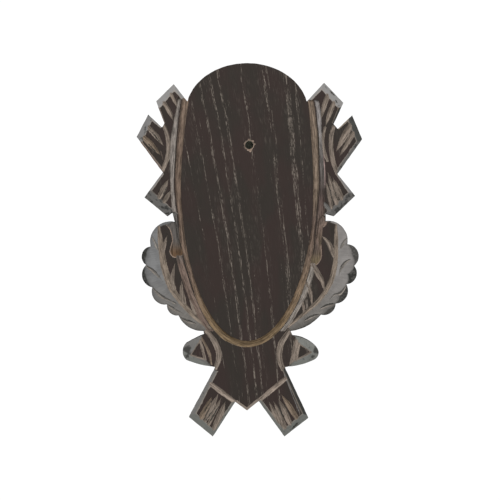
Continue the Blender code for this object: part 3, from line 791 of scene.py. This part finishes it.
def carve_field_border(relief):
    """The cove round the field and the strip beside it."""
    signed, along, length, _ = along_path(relief.x, relief.z, field_edge())
    start, groove, inner, strip = border_at(relief.z, relief.x > 0)
    out = -signed - start
    beside = -signed - inner
    leaf_end = on_grid(1, LEFT["leaf"][-1])[1]
    for hand in (LEFT, RIGHT):
        mine = (relief.x * hand["side"] > 0) & (along > 0) & (along < length)
        mine &= relief.z < hand["border_top"]

        where = np.flatnonzero(mine & (out > -0.4) & (out < groove + 0.4))
        u = out[where] / groove[where]
        depth = GROOVE_DEPTH * np.clip(1 - np.abs(2 * u - 1) ** 2.6, 0, None)
        tint = shades(hand["groove"], relief.z[where])
        wear = noise(along[where] * 0.04, out[where] * 1.1 + 5, 15)[:, None]
        tint = tint * (1 + 0.22 * wear)
        # Painted shade on the groove's outer wall, and a slight darkening along its inner edge
        shade = ramp(u, 0.72, 0.95) * hand["groove_shade"] * ramp(relief.z[where], -60, -10)
        shade += ramp(-u, -0.14, 0) * 0.2
        relief.carve(where, depth, tint, out[where], along[where], dirt_and_shade=shade)

        where = np.flatnonzero(
            mine & (beside > -0.4) & (beside < strip + 0.4) & (relief.z > leaf_end)
        )
        u = beside[where] / strip[where]
        rise = np.minimum(u / STRIP_BOTTOM, (1 - u) / (1 - STRIP_BOTTOM))
        depth = STRIP_DEPTH * np.clip(rise, 0, None)
        tint = shades(hand["strip"], relief.z[where])
        # Painted shade on the strip's steep outer wall, and darker towards the strip's top end
        top_end = ramp(relief.z[where], hand["border_top"] - 2, hand["border_top"])
        shade = ramp(u, 0.8, 1) * 0.35 + top_end * 0.6
        relief.carve(where, depth, tint, out[where], along[where], dirt_and_shade=shade)


def carve_leaf(relief, hand, veins):
    """The slope from the midrib to the lobes, scooped between the veins."""
    midrib = smooth_path(all_on_grid(hand["side"], hand["midrib"][1]))
    edge = np.array(joined(arcs(hand, "leaf")))
    area = np.vstack([midrib, edge[::-1]])
    where = relief.near(area, 1)
    x, z = relief.x[where], relief.z[where]
    keep = inside(x, z, area) | (np.abs(along_path(x, z, edge)[0]) < 0.5)
    where, x, z = where[keep], x[keep], z[keep]
    fall, along, _, _ = along_path(x, z, midrib)
    fall = np.abs(fall)
    rim = np.full(len(where), np.inf)
    dark = np.zeros(len(where))
    ragged = noise(x * 0.9, z * 0.9, 21) + 0.6 * noise(x * 2.3, z * 2.3, 22)
    # Each lobe darkens at its rim: a dark crescent at its tip, and a broad painted shade reaching in
    # from the rim
    for lobe, (width, strength) in zip(arcs(hand, "leaf"), hand["crescents"]):
        signed, way, length, _ = along_path(x, z, np.array(lobe))
        distance = np.abs(signed)
        tapered = width * np.sin(np.clip(way / length, 0, 1) * math.pi) ** 0.8 + 0.4 * ragged
        shadow = (1 - ramp(distance, tapered - 0.8, tapered + 0.5)) * (1 - 0.3 * ramp(ragged, 0, 1))
        soft = 0.5 * (1 - ramp(distance, 0, 1.5 + 1.9 * tapered))
        dark = np.maximum(dark, np.maximum(shadow, soft) * strength)
        rim = np.minimum(rim, distance)
    gap = np.full(len(where), np.inf)
    for vein in veins:
        gap = np.minimum(gap, np.abs(along_path(x, z, vein.path)[0]))
    scoop = SCOOP_DEPTH * (1 - np.exp(-(gap / SCOOP_REACH) ** 2)) * ramp(fall, 1.5, 5)
    rounded = 0.5 * np.clip(1 - rim / LOBE_ROUNDING, 0, None) ** 2
    marks = 0.006 * noise(along * 0.9, fall * 0.12, 23) * ramp(fall, 1, 3)
    cloud = 1 + 0.12 * noise(x * 0.3, z * 0.3, 24)[:, None]
    # The lower lobes take the darker leaf_low: painted shade of the slopes that face down
    tint = blended(*map(linear, hand["leaf_tints"]), ramp(-z, 55, 88)) * cloud
    depth = fall * LEAF_SLOPE + scoop + rounded + marks
    relief.carve(where, depth, tint, along, fall, dirt_and_shade=dark, calm=0.85)


def carve_pocket(relief, hand):
    """The hollow between the border and the leaf's branch, closed by a round end."""
    rim = smooth_path(all_on_grid(hand["side"], hand["rim"]))
    area = np.vstack([rim, all_on_grid(hand["side"], hand["pocket_back"])])
    where = relief.near(area, 0.1)
    where = where[inside(relief.x[where], relief.z[where], area)]
    x, z = relief.x[where], relief.z[where]
    distance = np.abs(along_path(x, z, rim)[0])
    depth = POCKET_DEPTH * ramp(distance, -0.6, 2.0)
    bottom = rim[:, 1].min()
    tint = blended(*map(linear, hand["pocket"]), ramp(z, bottom + 2, bottom + 12))
    # Painted shade in the hollow, away from its round end and higher above its bottom
    shade = ramp(distance, 1.6, 3.2) * 0.3 * ramp(z, bottom + 3, bottom + 9)
    relief.carve(where, depth, tint, x, z, dirt_and_shade=shade)


def carve_acorn(relief, hand):
    """The nut falls away from its flat facet, in an upper slope with a dirty tip and a lower one."""
    side = hand["side"]
    facet = all_on_grid(side, hand["acorn_facet"])
    edge = np.array(joined(arcs(hand, "acorn")))
    area = np.vstack([edge + side * normals(edge), facet[[2, 0]]])
    where = relief.near(area, 0.1)
    x, z = relief.x[where], relief.z[where]
    keep = inside(x, z, area) & ~inside(x, z, facet)
    where, x, z = where[keep], x[keep], z[keep]
    out, along, _, _ = along_path(x, z, facet)
    out = np.abs(out)
    tip = all_on_grid(side, hand["acorn"][1:3]).mean(axis=0)
    lower = along_path(x, z, np.array([facet[1], facet[1] + (tip - facet[1]) * 3]))[0] * side < 0
    upper_tint, lower_tint = (linear(name) for name in hand["acorn_tints"])
    tint = np.where(lower[:, None], lower_tint, upper_tint)
    spots = noise(x * 0.5, z * 0.5, 27) + 0.5 * noise(x * 1.6, z * 1.6, 28)
    nearness = np.exp(-(np.hypot(x - tip[0], z - tip[1]) / 5.5) ** 2) * np.where(lower, 0.45, 1)
    dirt_and_shade = ramp(spots + 1.7 * nearness, 0.7, 1.5) * 0.85
    relief.carve(where, ACORN_STEP + out * ACORN_SLOPE, tint, out, along, dirt_and_shade=dirt_and_shade, calm=0.85)


def chip_hole(relief):
    """The torn rim of the drilled hole."""
    dx, dz = relief.x - HOLE_OFFSET, relief.z - HOLE_LEVEL
    distance = np.hypot(dx, dz)
    angle = np.arctan2(dz, dx)
    ragged = HOLE_RIM_RADIUS + 0.09 * np.sin(5 * angle + 1) + 0.07 * np.sin(9 * angle)
    tear = TEAR_LENGTH * np.clip(1 - np.abs(angle + 1.5) / 0.3, 0, None)
    where = np.flatnonzero(distance < HOLE_RIM_RADIUS + 2.2)
    depth = (ragged + tear - distance)[where] * CHIP_SLOPE
    relief.carve(where, depth, linear("bare"), distance[where], angle[where] * HOLE_RADIUS)


def carved(x, z):
    """Depth, colour, cut and tool marks at the given points of the front."""
    relief = Relief(x, z)
    carve_field_border(relief)
    for hand in (LEFT, RIGHT):
        flat, sloped, chips = cuts_of(hand)
        carve_pocket(relief, hand)
        carve_leaf(relief, hand, sloped)
        for cut in flat:
            relief.stroke(cut)
        for cut in sloped:
            relief.stroke(cut, added=True)
        carve_acorn(relief, hand)
        named = corners(hand)
        for start, end, first, last, tint, mottle in hand["bevels"]:
            run_on = [RUN_ON.get(corner, 0) for corner in (start, end)]
            relief.bevel(named[start], named[end], (first, last), tint, mottle, hand["side"], run_on)
        for cut in chips:
            relief.stroke(cut, added=True)
    chip_hole(relief)
    torn = TOOL_MARKS * noise(relief.flow[:, 0] * 1.3, relief.flow[:, 1] * 0.25, 41)
    relief.depth += torn * relief.cut
    relief.depth += FACE_WAVES * noise(x * 0.8, z * 0.15, 43) * (1 - relief.cut)
    relief.depth = np.maximum(relief.depth, 0)
    return relief


def worn_edge():
    """The outline with points close together, drawn in a little where the edge is worn."""
    edge = resampled(outline(), closed=True)
    worn = EDGE_WEAR * (1 + noise(edge[:, 0] * 0.45, edge[:, 1] * 0.45, 51))
    return edge - ring_normals(edge) * worn[:, None]


def hole_edge(count=48):
    angle = np.linspace(0, 2 * math.pi, count, endpoint=False)
    return np.column_stack([
        HOLE_OFFSET + HOLE_RADIUS * np.cos(angle), HOLE_LEVEL + HOLE_RADIUS * np.sin(angle)
    ])


def feature_lines():
    """Every line where the front has a crease."""
    base = field_edge(1200)
    out = -normals(base)
    border = border_at(base[:, 1], base[:, 0] > 0)
    start, groove, inner, strip = (width[:, None] for width in border)
    lines = [
        base + out * offset
        for offset in (start, start + groove, inner, inner + STRIP_BOTTOM * strip, inner + strip)
    ]
    for hand in (LEFT, RIGHT):
        for group in cuts_of(hand):
            for cut in group:
                lines += cut.lines()
        lines += bevel_lines(hand)
    return lines


def point_tree(points):
    """A search tree that finds the nearest of the points."""
    tree = kdtree.KDTree(len(points))
    for i, (a, b) in enumerate(points):
        tree.insert((a, b, 0), i)
    tree.balance()
    return tree


def filling(edge, tree, step, clearance, seed):
    """A slightly shaken triangular lattice of points inside an edge and clear of the tree's."""
    low, high = edge.min(axis=0), edge.max(axis=0)
    x, z = [], []
    for i, row in enumerate(np.arange(low[1], high[1], step * ROW_SPACING)):
        line = np.arange(low[0] + (i % 2) * step / 2, high[0], step)
        x.append(line)
        z.append(np.full(len(line), row))
    random = np.random.default_rng(seed)
    shake = step * SHAKE
    x, z = (np.concatenate(rows) for rows in (x, z))
    x, z = (places + random.uniform(-shake, shake, len(places)) for places in (x, z))
    keep = inside(x, z, edge)
    x, z = x[keep], z[keep]
    clear = np.array([tree.find((a, b, 0))[2] > step * clearance for a, b in zip(x, z)])
    return x[clear], z[clear]


def triangulated(points, edges, outer):
    """Triangles between the points that keep the edges and lie inside the outer one."""
    vectors = [Vector((float(a), float(b))) for a, b in points]
    verts, _, faces, _, _, _ = delaunay_2d_cdt(vectors, edges, [], 0, WELD, False)
    verts, faces = np.array([tuple(v) for v in verts]), np.array(faces)
    middle = verts[faces].mean(axis=1)
    return verts, faces[inside(middle[:, 0], middle[:, 1], outer)]


def ring_edges(first, count):
    return [(first + i, first + (i + 1) % count) for i in range(count)]


def front_sheet(edge):
    """The front's points in the design plane and its triangles."""
    rim = hole_edge()
    points = [*map(tuple, edge), *map(tuple, rim)]
    edges = ring_edges(0, len(edge)) + ring_edges(len(edge), len(rim))
    for line in feature_lines():
        within = inside(line[:, 0], line[:, 1], edge)
        for a, b in zip(range(len(line) - 1), range(1, len(line))):
            if within[a] and within[b]:
                edges.append((len(points), len(points) + 1))
                points += [tuple(line[a]), tuple(line[b])]
    tree = point_tree(points)
    half = FIELD_HALF_WIDTH - FIELD_MARGIN
    for step, in_field in ((FINE_STEP, False), (FIELD_STEP, True)):
        x, z = filling(edge, tree, step, CLEARANCE, seed=61)
        height = np.where(z > 0, FIELD_RISE, FIELD_DROP - FIELD_MARGIN)
        keep = ((x / half) ** 2 + (z / height) ** 2 < 1) == in_field
        points += list(zip(x[keep], z[keep]))
    flat, faces = triangulated(points, edges, edge)
    middle = flat[faces].mean(axis=1)
    off_hole = np.hypot(middle[:, 0] - HOLE_OFFSET, middle[:, 1] - HOLE_LEVEL) > HOLE_RADIUS
    return flat, faces[off_hole]


def rim_loops(faces):
    """The closed loops of points round a sheet, each in order."""
    pairs = np.vstack([faces[:, [0, 1]], faces[:, [1, 2]], faces[:, [2, 0]]])
    known = {(int(a), int(b)) for a, b in pairs}
    following = {a: b for a, b in known if (b, a) not in known}
    loops = []
    while following:
        start, at = following.popitem()
        loop = [start]
        while at != start:
            loop.append(at)
            at = following.pop(at)
        loops.append(loop)
    return loops


class Shell:
    """A closed surface that is put together from sheets and strips between rings of points."""

    def __init__(self):
        self.points, self.triangles, self.zones = [], [], []
        self.total = 0

    def add_points(self, place, depth):
        """Adds points by their places in the design plane, and gives their numbers."""
        depth = np.broadcast_to(depth, len(place))
        self.points.append(np.column_stack([place[:, 0], depth, place[:, 1]]))
        first = self.total
        self.total += len(place)
        return np.arange(first, self.total)

    def add_faces(self, triangles, zone):
        self.triangles.append(triangles)
        self.zones.append(np.full(len(triangles), zone))

    def strip(self, ring, following, zone):
        """Two triangles between each pair of points of two rings."""
        after, next_after = np.roll(ring, -1), np.roll(following, -1)
        self.add_faces(np.column_stack([ring, following, next_after]), zone)
        self.add_faces(np.column_stack([ring, next_after, after]), zone)


def board_wall(shell, loop, ring, front):
    """The board's side, a little rough, down to the back; gives the back's edge."""
    inward = ring_normals(ring)
    for share, draw in WALL_ROWS:
        rough = draw * (0.6 + 0.4 * noise(ring[:, 0] * 1.1, ring[:, 1] * 1.1 + share * 9, 71))
        place = ring + inward * rough[:, None]
        following = shell.add_points(place, front * (1 - share))
        shell.strip(loop, following, SIDES)
        loop = following
    return loop, place


def hole_wall(shell, loop, ring, front):
    """The drilled hole's wall, down to its flat bottom."""
    bottom = HOLE_DEPTH - THICKNESS
    for share in (0.5, 1.0):
        following = shell.add_points(ring, front + (bottom - front) * share)
        shell.strip(loop, following, BORE)
        loop = following
    centre = shell.add_points(ring.mean(axis=0)[None], bottom)
    middle = np.full(len(loop), centre[0])
    shell.add_faces(np.column_stack([middle, np.roll(loop, -1), loop]), BORE)


def back_sheet(shell, loop, edge):
    x, z = filling(edge, point_tree(edge), BACK_STEP, BACK_CLEARANCE, seed=73)
    points = [*map(tuple, edge), *zip(x, z)]
    flat, faces = triangulated(points, ring_edges(0, len(edge)), edge)
    numbers = shell.add_points(flat, 0.0)
    shell.add_faces(numbers[faces[:, ::-1]], BACK)


def plaque_mesh():
    """The closed mesh in metres, with the attributes that the material reads."""
    flat, faces = front_sheet(worn_edge())
    relief = carved(flat[:, 0], flat[:, 1])
    front = relief.depth - THICKNESS
    shell = Shell()
    shell.add_points(flat, front)
    shell.add_faces(faces, FRONT)
    hole, board = sorted(rim_loops(faces), key=len)
    hole_wall(shell, hole, flat[hole], front[hole])
    back_sheet(shell, *board_wall(shell, board, flat[board], front[board]))

    points, triangles = np.vstack(shell.points), np.vstack(shell.triangles)
    points[:, 2] += LIFT
    mesh = bpy.data.meshes.new("plaque_carving")
    mesh.from_pydata((points / METRE).tolist(), [], triangles.tolist())
    mesh.polygons.foreach_set("material_index", np.concatenate(shell.zones))
    set_attributes(mesh, relief, points)
    made = bmesh.new()
    made.from_mesh(mesh)
    bmesh.ops.remove_doubles(made, verts=made.verts, dist=1e-6)
    bmesh.ops.dissolve_degenerate(made, edges=made.edges, dist=1e-7)
    made.to_mesh(mesh)
    made.free()
    mesh.polygons.foreach_set("use_smooth", [True] * len(mesh.polygons))
    mesh.set_sharp_from_angle(angle=math.radians(SMOOTH_ANGLE))
    mesh.validate()
    return mesh


def set_attributes(mesh, relief, points):
    """Colour, tool-mark direction and wear at each point, where wear holds the cut share, the dirt with
    the painted shade, and the calm of the tool marks; the sides and back are plain stained wood.
    """
    count, front = len(points), len(relief.x)
    tint = np.ones((count, 4))
    tint[:, :3] = linear("stain")
    tint[:front, :3] = relief.tint
    flow = points.copy()
    flow[:front] = relief.flow
    x, z = points[:, 0], points[:, 2] - LIFT
    across = x + z * (GRAIN_SLANT - x * GRAIN_FAN) + 0.5 * noise(0.5, z * 0.05, 77)
    rows = np.zeros(count)
    for place, strength, width in PORE_ROWS:
        lively = strength * (0.9 + 0.4 * noise(z * 0.035, place, 79))
        rows = np.maximum(rows, lively * np.exp(-((across - place) / width) ** 2))
    grain = np.column_stack([across, z, rows])
    wear = np.zeros((count, 3))
    wear[:front] = np.column_stack([relief.cut, relief.dirt_and_shade, relief.calm])
    mesh.attributes.new("tint", "FLOAT_COLOR", "POINT").data.foreach_set("color", tint.ravel())
    for name, values in (("flow", flow), ("grain", grain), ("wear", wear)):
        mesh.attributes.new(name, "FLOAT_VECTOR", "POINT").data.foreach_set("vector", values.ravel())


class Nodes:
    """Short ways to add and link a material's nodes."""

    def __init__(self, name):
        self.material = bpy.data.materials.new(name)
        self.material.use_nodes = True
        self.tree = self.material.node_tree
        self.shader = self.tree.nodes["Principled BSDF"]

    def add(self, kind, **values):
        node = self.tree.nodes.new("ShaderNode" + kind)
        for key, value in values.items():
            setattr(node, key, value)
        return node

    def link(self, source, target):
        self.tree.links.new(source, target)

    def attribute(self, name, output="Vector"):
        return self.add("Attribute", attribute_name=name).outputs[output]

    def parts(self, vector):
        node = self.add("SeparateXYZ")
        self.link(vector, node.inputs[0])
        return node.outputs

    def noise(self, vector, scale, detail=3.0, roughness=0.55, shift=(0, 0, 0)):
        mapping = self.add("Mapping")
        mapping.inputs["Scale"].default_value = scale
        mapping.inputs["Location"].default_value = shift
        self.link(vector, mapping.inputs["Vector"])
        node = self.add("TexNoise")
        node.inputs["Scale"].default_value = 1.0
        node.inputs["Detail"].default_value = detail
        node.inputs["Roughness"].default_value = roughness
        self.link(mapping.outputs[0], node.inputs["Vector"])
        return node.outputs["Fac"]

    def math(self, operation, *values):
        node = self.add("Math", operation=operation)
        for i, value in enumerate(values):
            if isinstance(value, (int, float)):
                node.inputs[i].default_value = value
            else:
                self.link(value, node.inputs[i])
        return node.outputs[0]

    def product(self, *values):
        return self.math("MULTIPLY", *values)

    def span(self, value, low, high, start=0.0, end=1.0):
        node = self.add("MapRange", interpolation_type="SMOOTHSTEP")
        for i, number in enumerate((low, high, start, end), start=1):
            node.inputs[i].default_value = number
        self.link(value, node.inputs[0])
        return node.outputs[0]

    def mixed(self, share, first, second, blend="MIX"):
        node = self.add("Mix", data_type="RGBA", blend_type=blend)
        for i, value in ((0, share), (6, first), (7, second)):
            if isinstance(value, float):
                node.inputs[i].default_value = value
            elif isinstance(value, np.ndarray):
                node.inputs[i].default_value = (*value, 1.0)
            else:
                self.link(value, node.inputs[i])
        return node.outputs[2]

    def bumped(self, height, distance):
        node = self.add("Bump")
        node.inputs["Distance"].default_value = distance
        self.link(height, node.inputs["Height"])
        self.link(node.outputs[0], self.shader.inputs["Normal"])


def stained_face(nodes, grain):
    """The dark stained face with pale broken pores: its colour and the pores' share."""
    rows = nodes.parts(grain)[2]
    dashes = nodes.noise(grain, (2.3, 0.085, 0), detail=4.0, roughness=0.65)
    level = nodes.span(rows, 0.05, 0.8, 0.7, 0.5)
    pores = nodes.span(nodes.math("SUBTRACT", dashes, level), -0.02, 0.05)
    breaks = nodes.span(nodes.noise(grain, (1.1, 0.42, 0), detail=3.0, shift=(7, 2, 0)), 0.36, 0.56)
    pores = nodes.product(pores, breaks)
    fine = nodes.span(nodes.noise(grain, (3.2, 0.16, 0), detail=2.0, shift=(1, 5, 0)), 0.56, 0.7)
    cloud = nodes.span(nodes.noise(grain, (0.14, 0.012, 0), detail=2.0, shift=(3, 0, 0)), 0.5, 0.62)
    clouded = nodes.product(fine, cloud)
    pores = nodes.math("MAXIMUM", pores, nodes.product(clouded, 0.35))
    patch = nodes.noise(grain, (0.05, 0.02, 0), detail=2.0, shift=(0, 9, 0))
    green = linear("stain") * (0.9, 0.97, 0.95)
    red = linear("stain") * (1.06, 0.93, 0.96)
    base = nodes.mixed(nodes.span(patch, 0.4, 0.6), green, red)
    silk = nodes.noise(grain, (3.5, 0.12, 0), detail=2.0, shift=(4, 4, 0))
    base = nodes.mixed(nodes.span(silk, 0.35, 0.7, 0.0, 0.22), base, linear("stain") * 1.8)
    return nodes.mixed(nodes.product(pores, 0.9), base, linear("pore")), pores


def carved_oak():
    """Front: stained face where it is uncut, bare wood with tool marks, dirt and painted shade where it
    is cut.
    """
    nodes = Nodes("oak_front")
    grain, flow = nodes.attribute("grain"), nodes.attribute("flow")
    cut_share, dirt_and_shade, calm = nodes.parts(nodes.attribute("wear"))
    face, pores = stained_face(nodes, grain)

    fibres = nodes.noise(flow, (1.5, 0.13, 1.0), detail=4.0, roughness=0.62)
    fine = nodes.noise(flow, (5.5, 0.5, 1.0), detail=3.0, roughness=0.6, shift=(2, 3, 1))
    spots = nodes.noise(flow, (0.7, 0.45, 1.0), detail=4.0, roughness=0.65, shift=(8, 1, 4))
    light = nodes.span(fibres, 0.32, 0.68, -0.55, 0.42)
    light = nodes.math("ADD", light, nodes.span(fine, 0.3, 0.7, -0.2, 0.2))
    light = nodes.math("MULTIPLY_ADD", light, nodes.span(calm, 0, 1, 1.0, 0.1), 1.0)
    wood = nodes.mixed(1.0, nodes.attribute("tint", "Color"), light, blend="MULTIPLY")
    # Random dark spots of dirt in the cut wood
    soot_and_shade = nodes.span(spots, 0.58, 0.74, 0.0, 0.6)
    soot_and_shade = nodes.product(soot_and_shade, nodes.span(calm, 0, 1, 1.0, 0.3))
    wood = nodes.mixed(soot_and_shade, wood, linear("flute_dark") * 0.7)
    # Darker towards the chip colour: dirt spots on the sawn slopes and the acorn, and painted shade in
    # the cuts, the border's walls, the pocket and the leaf's lobes
    wood = nodes.mixed(dirt_and_shade, wood, linear("chip") * 0.8)

    ragged = nodes.math("ADD", cut_share, nodes.span(fine, 0.3, 0.7, -0.16, 0.16))
    cut = nodes.span(ragged, 0.3, 0.62)
    nodes.link(nodes.mixed(cut, face, wood), nodes.shader.inputs["Base Color"])
    nodes.link(nodes.span(cut, 0, 1, 0.56, 0.8), nodes.shader.inputs["Roughness"])
    nodes.shader.inputs["Specular IOR Level"].default_value = 0.15
    marks = nodes.math("ADD", fibres, nodes.product(fine, 0.6))
    marks = nodes.product(marks, nodes.product(cut, nodes.span(calm, 0, 1, 1.0, 0.25)))
    height = nodes.math("SUBTRACT", marks, nodes.product(pores, 0.5))
    nodes.bumped(height, 0.00018)
    return nodes.material


def plain_oak(name, axis_scale, shown, spread):
    """Sides, back and hole: plain rougher wood with straight grain and faint saw marks."""
    nodes = Nodes(name)
    place = nodes.attribute("flow")
    fibres = nodes.noise(place, axis_scale, detail=4.0, roughness=0.6)
    patch = nodes.noise(place, (0.06, 0.06, 0.03), detail=3.0, shift=(5, 5, 5))
    base = nodes.mixed(nodes.span(fibres, 0.35, 0.7), linear(shown), linear(shown) * spread)
    base = nodes.mixed(nodes.span(patch, 0.4, 0.7, 0.0, 0.4), base, linear(shown) * 1.4)
    nodes.link(base, nodes.shader.inputs["Base Color"])
    nodes.link(nodes.span(fibres, 0.3, 0.7, 0.62, 0.8), nodes.shader.inputs["Roughness"])
    nodes.shader.inputs["Specular IOR Level"].default_value = 0.15
    nodes.bumped(fibres, 0.0002)
    return nodes.material


def make_plaque():
    mesh = plaque_mesh()
    for material in (
        carved_oak(),
        plain_oak("oak_sides", (0.9, 0.9, 0.12), "stain", 1.8),
        plain_oak("oak_back", (1.3, 0.5, 0.05), "back", 1.9),
        plain_oak("oak_bore", (0.9, 0.9, 0.9), "bore", 1.1),
    ):
        mesh.materials.append(material)
    piece = bpy.data.objects.new("plaque_carving", mesh)
    bpy.context.scene.collection.objects.link(piece)
    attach(piece, "root")
    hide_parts("carved_board")


# The picture's width at the board's face and the camera's place in metres, its lens in millimetres,
# and how strong the white world is as a light and as the camera sees it
FRAME_WIDTH = 0.3198
LENS = 120.0
SENSOR = 36.0
CAMERA_X = 0.0019
CAMERA_Z = 0.0001
WORLD_LIGHT = 0.42
WORLD_SHOWN = 1.05


def make_camera():
    data = bpy.data.cameras.new("camera")
    data.lens = LENS
    data.sensor_width = SENSOR
    camera = bpy.data.objects.new("camera", data)
    away = FRAME_WIDTH * LENS / SENSOR
    camera.location = (CAMERA_X, -THICKNESS / METRE - away, CAMERA_Z)
    camera.rotation_euler = (math.radians(90), 0, 0)
    bpy.context.scene.collection.objects.link(camera)
    bpy.context.scene.camera = camera


def area_light(name, place, size, watts):
    data = bpy.data.lights.new(name, "AREA")
    data.size = size
    data.energy = watts
    light = bpy.data.objects.new(name, data)
    light.location = place
    light.rotation_euler = (-Vector(place)).to_track_quat("-Z", "Y").to_euler()
    bpy.context.scene.collection.objects.link(light)


def make_light():
    """White surroundings, with a soft light from above the camera and a weak one beside it."""
    world = bpy.data.worlds.new("studio")
    world.use_nodes = True
    tree = world.node_tree
    background = tree.nodes["Background"]
    background.inputs["Color"].default_value = (1, 1, 1, 1)
    rays = tree.nodes.new("ShaderNodeLightPath")
    strength = tree.nodes.new("ShaderNodeMapRange")
    strength.inputs["To Min"].default_value = WORLD_LIGHT
    strength.inputs["To Max"].default_value = WORLD_SHOWN
    tree.links.new(rays.outputs["Is Camera Ray"], strength.inputs["Value"])
    tree.links.new(strength.outputs[0], background.inputs["Strength"])
    bpy.context.scene.world = world
    area_light("key", (-0.35, -1.5, 1.55), 0.8, 24.0)
    area_light("fill", (0.9, -1.6, 0.2), 1.0, 4.0)


def make_floor():
    bpy.ops.mesh.primitive_plane_add(size=1.0, location=(0, -0.2, -0.3))
    floor = bpy.context.object
    floor.name = "floor"
    floor.scale = (2.4, 1.4, 1)
    material = bpy.data.materials.new("pale_floor")
    material.use_nodes = True
    shader = material.node_tree.nodes["Principled BSDF"]
    shader.inputs["Base Color"].default_value = (0.8, 0.8, 0.8, 1)
    shader.inputs["Roughness"].default_value = 0.9
    floor.data.materials.append(material)


make_plaque()
make_camera()
make_light()
make_floor()
bpy.context.scene.view_settings.view_transform = "Standard"
